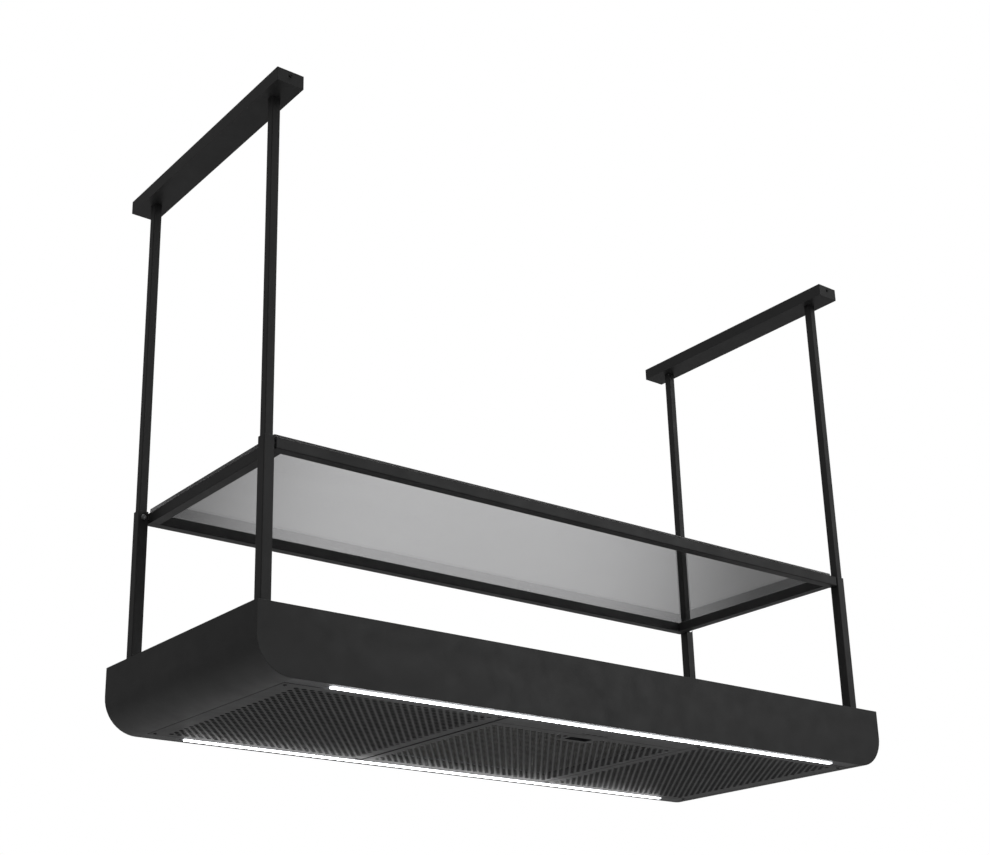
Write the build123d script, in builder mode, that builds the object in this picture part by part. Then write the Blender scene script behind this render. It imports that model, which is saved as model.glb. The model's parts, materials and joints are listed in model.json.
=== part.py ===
"""Ceiling-hung island range hood with a glass shelf, as an assembly of separate pieces.

Millimetres. +X runs along the hood, -Y is its front, +Z is up. The origin lies on the ceiling
plane, midway between the four ceiling bolts.
"""
from build123d import *
import os

os.makedirs("parts", exist_ok=True)

# ---------------------------------------------------------------- driving dimensions
LENGTH = 1800.0          # hood body along X
DEPTH = 650.0            # hood body along Y
BODY_HEIGHT = 144.0
END_RADIUS = 79.0        # rolled lower edge at each end of the body
DROP = 1320.0            # ceiling to the underside of the body
SHEET = 1.5              # shell, covers and bulkheads
GAP = 0.5                # clearance between neighbouring panels

TUBE_X = 859.5           # centre line of the four telescopic legs
TUBE_Y = 275.0
POST_SIZE = 25.0         # outer square tube, fixed to the hood
TUBE_SIZE = 20.0         # inner square tube, fixed to the ceiling
TUBE_WALL = 1.5
TUBE_CORNER = 2.0
INSERTION = 300.0        # length of the inner tube inside the post
POST_TOP = 500.0         # post top above the underside

COVER_LENGTH = 684.0
COVER_WIDTH = 66.0
COVER_HEIGHT = 32.0
BRACKET_LENGTH = 674.0
BRACKET_WIDTH = 56.0
BRACKET_PLATE = 3.0
BRACKET_FLANGE = 22.0
CEILING_HOLE_Y = 200.0
CEILING_HOLE_RADIUS = 4.5
CABLE_HOLE_RADIUS = 12.0
CABLE_BORE_RADIUS = 8.0

RAIL_SIZE = 25.0
SHELF_HALF_X = 842.5     # outside of the shelf frame
SHELF_HALF_Y = 287.0
GLASS_HALF_X = 840.0
GLASS_HALF_Y = 272.5
GLASS_THICKNESS = 10.0
PAD_THICKNESS = 1.0
PAD_RADIUS = 4.5

BEAM_WIDTH = 60.0
BEAM_DEPTH = 20.0
BEAM_PLATE = 3.0
FOOT_SIZE = 56.0
FOOT_PLATE = 4.0
FOOT_BOLT_PITCH = 42.0

SEAM_X = 815.0           # where the end wraps stop on the underside
LAMP_OUT = 323.5         # light channel, outer and inner sides
LAMP_IN = 284.0
LAMP_HEIGHT = 14.0
LAMP_LIP = 1.2
LENS_OUT = 304.5         # light opening, outer and inner sides
LENS_IN = 293.0
LENS_LEFT = -716.0
LENS_RIGHT = 736.0
LAND_RECESS = 0.6        # the lands beside the lens lie this far inside
LENS_PROUD = 1.2         # the lens stands this far below the underside
PLUG_LENGTH = 12.0       # recessed plug at the cable end of each lamp

PANEL_SHEET = 1.2        # perforated panels and control strip
PANEL_HALF_Y = 283.0
WRAP_GAP = 2.0           # open seam between each end wrap and its side panel
LEFT_SEAM = (-264.0, -256.0)
RIGHT_SEAM = (304.0, 305.5)
STRIP_BACK = -226.0      # back edge of the control strip
DOOR_FRONT = -224.5      # front edge of the access panel
DOOR_BACK = 281.0        # back edge, which swings up past the lamp channel
HOLE_PITCH = 18.3        # staggered perforation, along X
HOLE_ROW = 11.15         # row spacing along Y
HOLE_RADIUS = 5.5

HINGE_Y = 277.0
HINGE_HEIGHT = 5.0
HINGE_PIN_RADIUS = 2.0
HINGE_CLEARANCE = 0.05
HINGE_X = (-200.0, 248.0)

FAN_X = 24.0
FAN_Y = 30.0
FAN_RADIUS = 170.0
WHEEL_RADIUS = 120.0
SHAFT_RADIUS = 4.0
INTAKE_HEIGHT = 36.0
FAN_TOP = 130.0

KEY_COUNT = 4
KEY_LENGTH = 16.5
KEY_PITCH = 18.0
KEY_DEPTH = 5.6
KEY_GAP = 0.8            # around the row of keys
KEY_X = 22.0             # middle of the row of keys
KEY_Y = -237.0

# ---------------------------------------------------------------- derived levels
UNDERSIDE = -DROP
BODY_TOP = UNDERSIDE + BODY_HEIGHT
HALF_LENGTH = LENGTH / 2
HALF_DEPTH = DEPTH / 2
SIDES = {"left": -1, "right": 1}
FACES = {"front": -1, "back": 1}
MIN_Z = (Align.CENTER, Align.CENTER, Align.MIN)
HOLE_CLEARANCE = 0.1     # around every screw and bolt

# Head radius, head height and shank radius of the fasteners
FLANGE_BOLT = (5.0, 4.0, 3.0)
COVER_SCREW = (4.0, 2.2, 2.0)
PANEL_SCREW = (4.0, 1.4, 2.0)
CLAMP_SCREW = (6.0, 3.0, 3.0)


def up(height):
    """Z of a point at a height above the underside of the hood."""
    return UNDERSIDE + height


def slab(x, y, z, mode=Mode.ADD):
    """A box between the (low, high) pairs x, y and z, added to the open part."""
    with Locations(((x[0] + x[1]) / 2, (y[0] + y[1]) / 2, (z[0] + z[1]) / 2)):
        Box(abs(x[1] - x[0]), abs(y[1] - y[0]), abs(z[1] - z[0]), mode=mode)


def save(piece, name):
    """Label a finished piece and write it to its own file."""
    piece.part.label = name
    export_step(piece.part, f"parts/{name}.step")


def screws(seats, fastener, shank_length):
    """Socket screws. Each seat is the point under the head and the way the head faces."""
    head_radius, head_height, shank_radius = fastener
    with BuildPart() as group:
        for point, outward in seats:
            under_head = Plane(origin=point, z_dir=outward)
            with BuildSketch(under_head):
                Circle(head_radius)
            extrude(amount=head_height)
            with BuildSketch(under_head):
                Circle(shank_radius)
            extrude(amount=-shank_length)
            with BuildSketch(under_head.offset(head_height)):
                RegularPolygon(head_radius * 0.5, 6)
            extrude(amount=-head_height * 0.6, mode=Mode.SUBTRACT)
    return group


def corners(x=TUBE_X, y=TUBE_Y):
    """Name, X and Y of the four legs."""
    return [(f"{f}_{s}", sx * x, fy * y) for f, fy in FACES.items() for s, sx in SIDES.items()]


# ---------------------------------------------------------------- ceiling mount
FLANGE_BOLT_Y = 21.0
FLANGE_BOLT_LENGTH = 6.5
TUBE_PLATE_X = 44.0
TUBE_PLATE_Y = 58.0
TUBE_PLATE = 4.0
COVER_SCREW_Z = -11.0
COVER_SCREW_LENGTH = 9.0
COVER_CORNER = 1.0
GROMMET_LIP = 3.0
FLANGE_HOLE = FLANGE_BOLT[2] + HOLE_CLEARANCE
COVER_HOLE = COVER_SCREW[2] + HOLE_CLEARANCE


def ceiling_bracket(side):
    """Inverted channel that is bolted to the ceiling."""
    x = SIDES[side] * TUBE_X
    half_width = BRACKET_WIDTH / 2
    half_length = BRACKET_LENGTH / 2
    with BuildPart() as bracket:
        with BuildSketch(Plane.XY.offset(-BRACKET_PLATE)):
            with Locations((x, 0)):
                Rectangle(BRACKET_WIDTH, BRACKET_LENGTH)
            with Locations((x, -CEILING_HOLE_Y), (x, CEILING_HOLE_Y)):
                Circle(CEILING_HOLE_RADIUS, mode=Mode.SUBTRACT)
            for y in (-TUBE_Y, TUBE_Y):
                with Locations((x, y - FLANGE_BOLT_Y), (x, y + FLANGE_BOLT_Y)):
                    Circle(FLANGE_HOLE, mode=Mode.SUBTRACT)
            if side == "left":
                with Locations((x, 0)):
                    Circle(CABLE_HOLE_RADIUS, mode=Mode.SUBTRACT)
        extrude(amount=BRACKET_PLATE)
        depth = (-BRACKET_FLANGE, -BRACKET_PLATE)
        for edge in (-1, 1):
            inner = x + edge * (half_width - BRACKET_PLATE)
            slab(sorted((inner, x + edge * half_width)), (-half_length, half_length), depth)
            inner = edge * (half_length - BRACKET_PLATE)
            across = (x - half_width, x + half_width)
            slab(across, sorted((inner, edge * half_length)), depth)
            with Locations(Plane((x, edge * half_length, COVER_SCREW_Z), z_dir=(0, edge, 0))):
                Cylinder(COVER_HOLE, 4 * BRACKET_PLATE, mode=Mode.SUBTRACT)
    return bracket


def ceiling_cover(side):
    """Folded sheet cover around a ceiling bracket, open at the ceiling."""
    x = SIDES[side] * TUBE_X
    with BuildPart() as cover:
        with BuildSketch(Plane.XY.offset(-COVER_HEIGHT)):
            with Locations((x, 0)):
                RectangleRounded(COVER_WIDTH, COVER_LENGTH, COVER_CORNER)
        extrude(amount=COVER_HEIGHT)
        with BuildSketch(Plane.XY.offset(SHEET - COVER_HEIGHT)):
            with Locations((x, 0)):
                Rectangle(COVER_WIDTH - 2 * SHEET, COVER_LENGTH - 2 * SHEET)
        extrude(amount=COVER_HEIGHT, mode=Mode.SUBTRACT)
        with BuildSketch(Plane.XY.offset(-COVER_HEIGHT)):
            with Locations((x, -TUBE_Y), (x, TUBE_Y)):
                Rectangle(TUBE_SIZE + 2 * GAP, TUBE_SIZE + 2 * GAP)
        extrude(amount=SHEET, mode=Mode.SUBTRACT)
        for edge in (-1, 1):
            hole = Plane((x, edge * COVER_LENGTH / 2, COVER_SCREW_Z), z_dir=(0, edge, 0))
            with Locations(hole):
                Cylinder(COVER_HOLE, 4 * SHEET, mode=Mode.SUBTRACT)
    return cover


def upper_tube(x, y):
    """Inner tube of a leg, with the plate welded to its top."""
    top = -BRACKET_PLATE
    with BuildPart() as tube:
        with BuildSketch(Plane.XY.offset(up(POST_TOP) - INSERTION)):
            with Locations((x, y)):
                RectangleRounded(TUBE_SIZE, TUBE_SIZE, TUBE_CORNER)
                Rectangle(TUBE_SIZE - 2 * TUBE_WALL, TUBE_SIZE - 2 * TUBE_WALL, mode=Mode.SUBTRACT)
        extrude(amount=top - TUBE_PLATE - up(POST_TOP) + INSERTION)
        with BuildSketch(Plane.XY.offset(top - TUBE_PLATE)):
            with Locations((x, y)):
                Rectangle(TUBE_PLATE_X, TUBE_PLATE_Y)
            with Locations((x, y - FLANGE_BOLT_Y), (x, y + FLANGE_BOLT_Y)):
                Circle(FLANGE_HOLE, mode=Mode.SUBTRACT)
        extrude(amount=TUBE_PLATE)
    return tube


for side in SIDES:
    save(ceiling_bracket(side), f"ceiling_bracket_{side}")
    save(ceiling_cover(side), f"ceiling_cover_{side}")

for name, x, y in corners():
    save(upper_tube(x, y), f"upper_tube_{name}")

flange_seats = []
for _, x, y in corners():
    for offset in (-FLANGE_BOLT_Y, FLANGE_BOLT_Y):
        flange_seats.append(((x, y + offset, -BRACKET_PLATE - TUBE_PLATE), (0, 0, -1)))
save(screws(flange_seats, FLANGE_BOLT, FLANGE_BOLT_LENGTH), "flange_bolts")

cover_seats = []
for sx in SIDES.values():
    for fy in FACES.values():
        cover_seats.append(((sx * TUBE_X, fy * COVER_LENGTH / 2, COVER_SCREW_Z), (0, fy, 0)))
save(screws(cover_seats, COVER_SCREW, COVER_SCREW_LENGTH), "cover_screws")

# Rubber grommet in the left bracket, which the supply cable comes through
with BuildPart() as supply_grommet:
    with Locations((-TUBE_X, 0, -BRACKET_PLATE - GROMMET_LIP)):
        Cylinder(CABLE_HOLE_RADIUS + GROMMET_LIP, GROMMET_LIP, align=MIN_Z)
    with Locations((-TUBE_X, 0, -BRACKET_PLATE)):
        Cylinder(CABLE_HOLE_RADIUS - HOLE_CLEARANCE / 2, BRACKET_PLATE, align=MIN_Z)
    with Locations((-TUBE_X, 0, -BRACKET_PLATE - GROMMET_LIP)):
        Cylinder(CABLE_BORE_RADIUS, BRACKET_PLATE + GROMMET_LIP, align=MIN_Z, mode=Mode.SUBTRACT)
save(supply_grommet, "supply_grommet")

# ---------------------------------------------------------------- hood legs and chassis
CLAMP_HEIGHT = 485.0
CLAMP_HOLE = CLAMP_SCREW[2] + HOLE_CLEARANCE
CLAMP_LENGTH = (POST_SIZE - TUBE_SIZE) / 2 - 0.3     # short of the inner tube
BUSH_LENGTH = 34.0
BUSH_CLEARANCE = 0.12
FOOT_TOP = BODY_HEIGHT - SHEET
SHELF_BOLT_RADIUS = 3.0
SHELF_BOLT_HEIGHT = POST_TOP - RAIL_SIZE / 2
SHELF_BOLT_STUD = 9.0
HEX_ACROSS = 11.0
post_inside = POST_SIZE - 2 * TUBE_WALL


def inner_face(y, half_size):
    """Point and direction of a leg's face that looks at the middle of the hood."""
    toward_middle = -1 if y > 0 else 1
    return y + toward_middle * half_size, toward_middle


def lower_post(x, y):
    """Outer tube of a leg, with the foot plate welded under it."""
    face_y, facing = inner_face(y, POST_SIZE / 2)
    with BuildPart() as post:
        with BuildSketch(Plane.XY.offset(up(FOOT_TOP))):
            with Locations((x, y)):
                RectangleRounded(POST_SIZE, POST_SIZE, TUBE_CORNER)
                Rectangle(post_inside, post_inside, mode=Mode.SUBTRACT)
        extrude(amount=POST_TOP - FOOT_TOP)
        with BuildSketch(Plane.XY.offset(up(FOOT_TOP - FOOT_PLATE))):
            with Locations((x, y)):
                Rectangle(FOOT_SIZE, FOOT_SIZE)
                with GridLocations(FOOT_BOLT_PITCH, FOOT_BOLT_PITCH, 2, 2):
                    Circle(FLANGE_HOLE, mode=Mode.SUBTRACT)
        extrude(amount=FOOT_PLATE)
        with Locations(Plane((x, face_y, up(CLAMP_HEIGHT)), z_dir=(0, facing, 0))):
            Cylinder(CLAMP_HOLE, 4 * TUBE_WALL, mode=Mode.SUBTRACT)
        side = 1 if x > 0 else -1
        wall_x = x - side * POST_SIZE / 2
        with Locations(Plane((wall_x, y, up(SHELF_BOLT_HEIGHT)), z_dir=(side, 0, 0))):
            Cylinder(SHELF_BOLT_RADIUS + HOLE_CLEARANCE, 4 * TUBE_WALL, mode=Mode.SUBTRACT)
    return post


for name, x, y in corners():
    save(lower_post(x, y), f"lower_post_{name}")

# Nylon sleeves that centre each inner tube in its post
with BuildPart() as guide_bushes:
    for _, x, y in corners():
        with BuildSketch(Plane.XY.offset(up(POST_TOP - BUSH_LENGTH))):
            with Locations((x, y)):
                Rectangle(post_inside - HOLE_CLEARANCE, post_inside - HOLE_CLEARANCE)
                bore = TUBE_SIZE + 2 * BUSH_CLEARANCE
                Rectangle(bore, bore, mode=Mode.SUBTRACT)
        extrude(amount=BUSH_LENGTH - 1.0)
        face_y, facing = inner_face(y, POST_SIZE / 2)
        with Locations(Plane((x, face_y, up(CLAMP_HEIGHT)), z_dir=(0, facing, 0))):
            Cylinder(CLAMP_HOLE, 4 * TUBE_WALL, mode=Mode.SUBTRACT)
save(guide_bushes, "guide_bushes")

clamp_seats = []
for _, x, y in corners():
    face_y, facing = inner_face(y, POST_SIZE / 2)
    clamp_seats.append(((x, face_y, up(CLAMP_HEIGHT)), (0, facing, 0)))
save(screws(clamp_seats, CLAMP_SCREW, CLAMP_LENGTH), "clamp_screws")

# Two inverted channels across the hood, under the legs
beam_top = FOOT_TOP - FOOT_PLATE
beam_reach = HALF_DEPTH - SHEET - 4 * GAP
with BuildPart() as chassis_beams:
    for sx in SIDES.values():
        x = sx * TUBE_X
        with BuildSketch(Plane.XY.offset(up(beam_top - BEAM_PLATE))):
            with Locations((x, 0)):
                Rectangle(BEAM_WIDTH, 2 * beam_reach)
            for y in (-TUBE_Y, TUBE_Y):
                with Locations((x, y)):
                    with GridLocations(FOOT_BOLT_PITCH, FOOT_BOLT_PITCH, 2, 2):
                        Circle(FLANGE_HOLE, mode=Mode.SUBTRACT)
        extrude(amount=BEAM_PLATE)
        for edge in (-1, 1):
            outer = x + edge * BEAM_WIDTH / 2
            across = sorted((outer, outer - edge * BEAM_PLATE))
            slab(across, (-beam_reach, beam_reach), (up(beam_top - BEAM_DEPTH), up(beam_top)))
save(chassis_beams, "chassis_beams")

foot_seats = []
for _, x, y in corners():
    for dx in (-FOOT_BOLT_PITCH / 2, FOOT_BOLT_PITCH / 2):
        for dy in (-FOOT_BOLT_PITCH / 2, FOOT_BOLT_PITCH / 2):
            foot_seats.append(((x + dx, y + dy, up(beam_top - BEAM_PLATE)), (0, 0, -1)))
save(screws(foot_seats, FLANGE_BOLT, BEAM_PLATE + FOOT_PLATE - 0.2), "foot_bolts")

# ---------------------------------------------------------------- shelf
PAD_X = (-800.0, -266.0, 266.0, 800.0)
GLASS_CORNER = 3.0
GLASS_CHAMFER = 0.8
rail_low = POST_TOP - RAIL_SIZE
rail_middle = up(POST_TOP - RAIL_SIZE / 2)
rail_inside = RAIL_SIZE - 2 * TUBE_WALL


def long_rail(face):
    """Front or back shelf tube, full length, with closed ends drilled for the shelf bolts."""
    y = FACES[face] * (SHELF_HALF_Y - RAIL_SIZE / 2)
    with BuildPart() as rail:
        with BuildSketch(Plane(origin=(-SHELF_HALF_X, y, rail_middle), z_dir=(1, 0, 0))):
            RectangleRounded(RAIL_SIZE, RAIL_SIZE, TUBE_CORNER)
        extrude(amount=2 * SHELF_HALF_X)
        reach = SHELF_HALF_X - 2 * TUBE_WALL
        hollow = rail_inside / 2
        height = (up(rail_low + TUBE_WALL), up(POST_TOP - TUBE_WALL))
        slab((-reach, reach), (y - hollow, y + hollow), height, mode=Mode.SUBTRACT)
        for sx in SIDES.values():
            seat = (sx * SHELF_HALF_X, FACES[face] * TUBE_Y, up(SHELF_BOLT_HEIGHT))
            with Locations(Plane(seat, z_dir=(sx, 0, 0))):
                Cylinder(SHELF_BOLT_RADIUS + HOLE_CLEARANCE, 8 * TUBE_WALL, mode=Mode.SUBTRACT)
    return rail


def cross_rail(side):
    """Left or right shelf tube, butted between the long ones."""
    x = SIDES[side] * (SHELF_HALF_X - RAIL_SIZE / 2)
    reach = SHELF_HALF_Y - RAIL_SIZE
    with BuildPart() as rail:
        with BuildSketch(Plane(origin=(x, -reach, rail_middle), z_dir=(0, 1, 0))):
            RectangleRounded(RAIL_SIZE, RAIL_SIZE, TUBE_CORNER)
            Rectangle(rail_inside, rail_inside, mode=Mode.SUBTRACT)
        extrude(amount=2 * reach)
    return rail


for face in FACES:
    save(long_rail(face), f"shelf_rail_{face}")
for side in SIDES:
    save(cross_rail(side), f"shelf_rail_{side}")

with BuildPart() as glass_pads:
    for x in PAD_X:
        for fy in FACES.values():
            with Locations((x, fy * (GLASS_HALF_Y - PAD_RADIUS - 1.0), up(POST_TOP))):
                Cylinder(PAD_RADIUS, PAD_THICKNESS, align=MIN_Z)
save(glass_pads, "glass_pads")

with BuildPart() as shelf_glass:
    with BuildSketch(Plane.XY.offset(up(POST_TOP + PAD_THICKNESS))):
        RectangleRounded(2 * GLASS_HALF_X, 2 * GLASS_HALF_Y, GLASS_CORNER)
    extrude(amount=GLASS_THICKNESS)
    rims = shelf_glass.edges().group_by(Axis.Z)
    chamfer(rims[0] + rims[-1], GLASS_CHAMFER)
save(shelf_glass, "shelf_glass")

# Bolts with a hexagonal collar that stands each corner of the shelf off its post
with BuildPart() as shelf_bolts:
    collar = TUBE_X - POST_SIZE / 2 - SHELF_HALF_X
    for _, x, y in corners(x=SHELF_HALF_X):
        outward = 1 if x > 0 else -1
        at_rail = Plane(origin=(x, y, up(SHELF_BOLT_HEIGHT)), z_dir=(outward, 0, 0))
        with BuildSketch(at_rail):
            RegularPolygon(HEX_ACROSS / 2, 6, major_radius=False)
        extrude(amount=collar)
        with BuildSketch(at_rail.offset(-SHELF_BOLT_STUD)):
            Circle(SHELF_BOLT_RADIUS)
        extrude(amount=SHELF_BOLT_STUD + collar + TUBE_WALL - 0.2)
save(shelf_bolts, "shelf_bolts")

# ---------------------------------------------------------------- body shell
FLANGE_WIDTH = 15.0      # top flange of the front and back panels
END_FLANGE = 11.0        # top flange of the end wraps, clear of the foot plates
FLANGE_SHORT = 20.0      # how far each top flange stops short of the corners
LEDGE_END = 780.0        # end of the ledge that carries the side panel's outer screws
EDGE_CHAMFER = 0.5
OUTER_SCREW_X = 801.0    # screws of the side panels, from the middle of the hood
SCREW_Y = (-267.0, 273.0)
INNER_SCREW = {"left": -274.0, "right": 315.5}
PANEL_SCREW_LENGTH = 7.0
PANEL_HOLE = PANEL_SCREW[2] + HOLE_CLEARANCE
TOP_SCREW_X = [-750.0 + i * 300.0 for i in range(6)]     # screws of the top cover
TOP_SCREW_Y = 316.5
inner_y = HALF_DEPTH - SHEET


def face_panel(face):
    """Flat front or back panel with rounded lower corners and a drilled top flange."""
    y = FACES[face] * HALF_DEPTH
    inward = -FACES[face]
    with BuildPart() as panel:
        with BuildSketch(Plane(origin=(0, y, up(0)), x_dir=(1, 0, 0), z_dir=(0, -1, 0))):
            with Locations((0, BODY_HEIGHT / 2)):
                outline = Rectangle(LENGTH, BODY_HEIGHT)
            fillet(outline.vertices().group_by(Axis.Y)[0], END_RADIUS)
        extrude(amount=FACES[face] * SHEET)
        outer = panel.faces().sort_by(Axis.Y)[0 if face == "front" else -1]
        chamfer(outer.edges(), EDGE_CHAMFER)
        wall = sorted((y + inward * SHEET, y + inward * FLANGE_WIDTH))
        reach = HALF_LENGTH - FLANGE_SHORT
        slab((-reach, reach), wall, (BODY_TOP - 2 * SHEET, BODY_TOP - SHEET))
        with Locations([(x, FACES[face] * TOP_SCREW_Y, BODY_TOP) for x in TOP_SCREW_X]):
            Cylinder(PANEL_HOLE, 8 * SHEET, mode=Mode.SUBTRACT)
    return panel


def end_wrap(side):
    """Rolled end sheet: down the end, round the lower edge and on to the underside seam."""
    sx = SIDES[side]
    with BuildPart() as wrap:
        with BuildSketch(Plane(origin=(0, inner_y, 0), x_dir=(1, 0, 0), z_dir=(0, -1, 0))):
            middle = sx * (HALF_LENGTH + SEAM_X) / 2
            with Locations((middle, up(BODY_HEIGHT / 2))):
                outside = Rectangle(HALF_LENGTH - SEAM_X, BODY_HEIGHT)
            low = outside.vertices().group_by(Axis.Y)[0]
            fillet(low.sort_by(Axis.X)[0 if side == "left" else -1], END_RADIUS)
        extrude(amount=2 * inner_y)
        with BuildSketch(Plane(origin=(0, inner_y, 0), x_dir=(1, 0, 0), z_dir=(0, -1, 0))):
            with Locations((middle - sx * SHEET, up(BODY_HEIGHT / 2 + SHEET))):
                inside = Rectangle(HALF_LENGTH - SEAM_X, BODY_HEIGHT)
            low = inside.vertices().group_by(Axis.Y)[0]
            fillet(low.sort_by(Axis.X)[0 if side == "left" else -1], END_RADIUS - SHEET)
        extrude(amount=2 * inner_y, mode=Mode.SUBTRACT)
        ledge = sorted((sx * (SEAM_X + SHEET), sx * LEDGE_END))
        slab(ledge, (-PANEL_HALF_Y, PANEL_HALF_Y), (up(SHEET), up(2 * SHEET)))
        top = sorted((sx * (HALF_LENGTH - SHEET), sx * (HALF_LENGTH - END_FLANGE)))
        reach = inner_y - FLANGE_SHORT
        slab(top, (-reach, reach), (BODY_TOP - 2 * SHEET, BODY_TOP - SHEET))
        for screw_y in SCREW_Y:
            with Locations((sx * OUTER_SCREW_X, screw_y, up(SHEET))):
                Cylinder(PANEL_HOLE, 6 * SHEET, mode=Mode.SUBTRACT)
    return wrap


for face in FACES:
    save(face_panel(face), f"{face}_panel")
for side in SIDES:
    save(end_wrap(side), f"end_wrap_{side}")

with BuildPart() as top_cover:
    with BuildSketch(Plane.XY.offset(BODY_TOP - SHEET)):
        Rectangle(2 * (HALF_LENGTH - SHEET), 2 * inner_y)
        with GridLocations(2 * TUBE_X, 2 * TUBE_Y, 2, 2):
            Rectangle(POST_SIZE + GAP, POST_SIZE + GAP, mode=Mode.SUBTRACT)
        with Locations([(x, fy * TOP_SCREW_Y) for x in TOP_SCREW_X for fy in FACES.values()]):
            Circle(PANEL_HOLE, mode=Mode.SUBTRACT)
    extrude(amount=SHEET)
save(top_cover, "top_cover")

# ---------------------------------------------------------------- inner walls
FLANGE_REACH = 36.0
WINDOW_HALF_Y = 65.0
WINDOW_LOW = 44.0
WINDOW_HIGH = 122.0
bulkhead_x = {"left": -260.0, "right": RIGHT_SEAM[1] - SHEET}


def bulkhead(side):
    """Cross wall with an air window and a foot that the side panel is screwed to."""
    sx = SIDES[side]
    face_x = bulkhead_x[side] + (SHEET if side == "right" else 0)
    plate = sorted((face_x, face_x - sx * SHEET))
    foot = sorted((face_x, face_x + sx * FLANGE_REACH))
    across = (-PANEL_HALF_Y, PANEL_HALF_Y)
    with BuildPart() as wall:
        slab(plate, across, (up(PANEL_SHEET), BODY_TOP - SHEET))
        slab(foot, across, (up(PANEL_SHEET), up(PANEL_SHEET + SHEET)))
        window = (face_x - 2 * SHEET, face_x + 2 * SHEET)
        slab(window, (FAN_Y - WINDOW_HALF_Y, FAN_Y + WINDOW_HALF_Y),
             (up(WINDOW_LOW), up(WINDOW_HIGH)), mode=Mode.SUBTRACT)
        for screw_y in SCREW_Y:
            with Locations((INNER_SCREW[side], screw_y, up(SHEET))):
                Cylinder(PANEL_HOLE, 6 * SHEET, mode=Mode.SUBTRACT)
    return wall


for side in SIDES:
    save(bulkhead(side), f"bulkhead_{side}")

# ---------------------------------------------------------------- lamps
BOARD_HALF_WIDTH = 5.0
BOARD_THICKNESS = 1.6
BOARD_INSET = 4.0        # board shorter than its lens at each end
LENS_TOP = 3.0
LENS_CORNER = 0.9
LENS_CLEARANCE = 0.1
lens_middle = (LENS_OUT + LENS_IN) / 2
channel_reach = SEAM_X - GAP


def lamp_channel(face):
    """Aluminium channel: a lip along each side, and a land between each lip and the lens."""
    fy = FACES[face]
    along = (-channel_reach, channel_reach)
    full_height = (up(0), up(LAMP_HEIGHT))
    land = (up(LAND_RECESS), up(LAND_RECESS + SHEET))
    chamber = (up(LAND_RECESS), up(LAMP_HEIGHT))
    with BuildPart() as channel:
        for side, lens, outward in ((LAMP_OUT, LENS_OUT, 1), (LAMP_IN, LENS_IN, -1)):
            slab(along, sorted((fy * side, fy * (side - outward * LAMP_LIP))), full_height)
            slab(along, sorted((fy * side, fy * lens)), land)
            slab(along, sorted((fy * lens, fy * (lens + outward * SHEET))), chamber)
        slab(along, sorted((fy * LAMP_OUT, fy * LAMP_IN)), (up(LAMP_HEIGHT - SHEET), up(LAMP_HEIGHT)))
    return channel


def lamp_lens(face):
    """Opal diffuser, clipped into the light opening and standing a little proud of it."""
    fy = FACES[face]
    width = LENS_OUT - LENS_IN - 2 * LENS_CLEARANCE
    with BuildPart() as lens:
        with BuildSketch(Plane.XY.offset(up(-LENS_PROUD))):
            with Locations(((LENS_LEFT + LENS_RIGHT) / 2, fy * lens_middle)):
                RectangleRounded(LENS_RIGHT - LENS_LEFT, width, LENS_CORNER)
        extrude(amount=LENS_PROUD + LENS_TOP)
        fillet(lens.faces().sort_by(Axis.Z)[0].edges(), LENS_CORNER - 2 * LENS_CLEARANCE)
    return lens


for face in FACES:
    save(lamp_channel(face), f"led_channel_{face}")
    save(lamp_lens(face), f"led_diffuser_{face}")

with BuildPart() as led_boards:
    ceiling = LAMP_HEIGHT - SHEET
    board_x = (LENS_LEFT + BOARD_INSET, LENS_RIGHT - BOARD_INSET)
    for fy in FACES.values():
        board_y = (fy * lens_middle - BOARD_HALF_WIDTH, fy * lens_middle + BOARD_HALF_WIDTH)
        slab(board_x, board_y, (up(ceiling - BOARD_THICKNESS), up(ceiling)))
save(led_boards, "led_boards")

# Blanks that fill each channel beyond its lens, with a recessed plug at the cable end
with BuildPart() as led_end_caps:
    blank = (up(LAND_RECESS), up(LAND_RECESS + SHEET))
    inside = (up(LAND_RECESS + SHEET), up(LAMP_HEIGHT - SHEET))
    plug_start = LENS_LEFT - PLUG_LENGTH
    for fy in FACES.values():
        across = sorted((fy * (LENS_OUT - LENS_CLEARANCE), fy * (LENS_IN + LENS_CLEARANCE)))
        slab((-channel_reach, plug_start), across, blank)
        slab((plug_start - PLUG_LENGTH / 2, LENS_LEFT - 2 * LENS_CLEARANCE), across, inside)
        slab((LENS_RIGHT + 2 * LENS_CLEARANCE, channel_reach), across, blank)
save(led_end_caps, "led_end_caps")

# ---------------------------------------------------------------- underside panels
SIDE_AREA = {"left": (-784.0, -279.0), "right": (320.0, 784.0)}
SIDE_AREA_Y = 262.0
DOOR_AREA_X = (-243.0, 293.0)
DOOR_AREA_Y = (-204.0, 258.0)
CUP_X = (-13.0, 51.0)
CUP_Y = (-197.0, -171.0)
CUP_DEPTH = 16.0
CUP_WALL = 1.0
CUP_CORNER = 4.0
CUP_FLANGE = 2.0         # how much wider the cup's mouth is than its opening, each side
CUP_MARGIN = 6.0


def staggered(x, y, keep_out=None):
    """Centres of a staggered perforation that fills the area between the pairs x and y."""
    columns = int((x[1] - x[0] - 2 * HOLE_RADIUS) / HOLE_PITCH)
    rows = int((y[1] - y[0] - 2 * HOLE_RADIUS) / HOLE_ROW)
    start_x = (x[0] + x[1] - columns * HOLE_PITCH) / 2
    start_y = (y[0] + y[1] - rows * HOLE_ROW) / 2
    centres = []
    for row in range(rows + 1):
        odd = row % 2
        for column in range(columns + 1 - odd):
            px = start_x + (column + odd / 2) * HOLE_PITCH
            py = start_y + row * HOLE_ROW
            if keep_out and keep_out[0] < px < keep_out[1] and keep_out[2] < py < keep_out[3]:
                continue
            centres.append((px, py))
    return centres


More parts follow.
